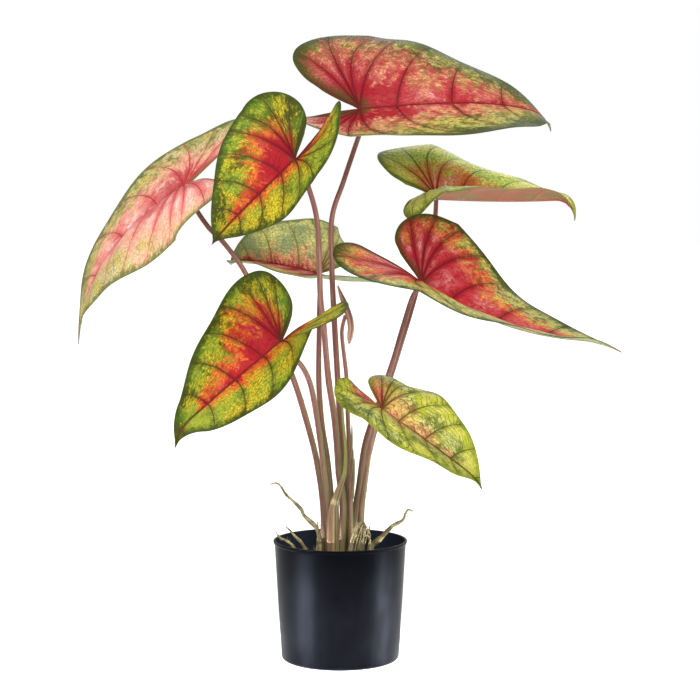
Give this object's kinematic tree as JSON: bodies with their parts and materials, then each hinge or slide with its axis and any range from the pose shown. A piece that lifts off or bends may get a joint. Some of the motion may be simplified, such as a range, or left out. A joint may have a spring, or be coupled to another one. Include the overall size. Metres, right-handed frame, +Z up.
{
  "type": "potted caladium",
  "caption": "Caladium house plant with arrow-shaped, folded, drooping blades on arching stalks, standing in soil in a tapered round plastic nursery pot.",
  "frame": {"origin": "centre of the pot's flat underside", "axes": "+Z up the plant, -Y towards the pictured front, +X to the right as seen from the front"},
  "size_m": [0.5266, 0.3711, 0.6043],
  "materials": {
    "black_plastic": "satin",
    "potting_soil": "matte",
    "leaf_1_blade": "satin",
    "leaf_2_blade": "satin",
    "leaf_3_blade": "satin",
    "leaf_4_blade": "satin",
    "leaf_5_blade": "satin",
    "leaf_6_blade": "satin",
    "leaf_7_blade": "satin",
    "leaf_8_blade": "satin",
    "leaf_stalk": "satin",
    "young_shoot": "satin",
    "old_sheath": "matte",
    "root": "matte"
  },
  "bodies": {
    "root": {"pot": "black_plastic", "soil": "potting_soil", "leaf_1_blade": "leaf_1_blade", "leaf_2_blade": "leaf_2_blade", "leaf_3_blade": "leaf_3_blade", "leaf_4_blade": "leaf_4_blade", "leaf_5_blade": "leaf_5_blade", "leaf_6_blade": "leaf_6_blade", "leaf_7_blade": "leaf_7_blade", "leaf_8_blade": "leaf_8_blade", "leaf_1_stalk": "leaf_stalk", "leaf_2_stalk": "leaf_stalk", "leaf_3_stalk": "leaf_stalk", "leaf_4_stalk": "leaf_stalk", "leaf_5_stalk": "leaf_stalk", "leaf_6_stalk": "leaf_stalk", "leaf_7_stalk": "leaf_stalk", "leaf_8_stalk": "leaf_stalk", "young_shoot": "young_shoot", "old_sheath": "old_sheath", "root_left_long": "root", "root_left_middle": "root", "root_left_front": "root", "root_right_long": "root", "root_loop": "root", "root_left_hair": "root", "root_right_hair": "root"}
  },
  "joints": []
}
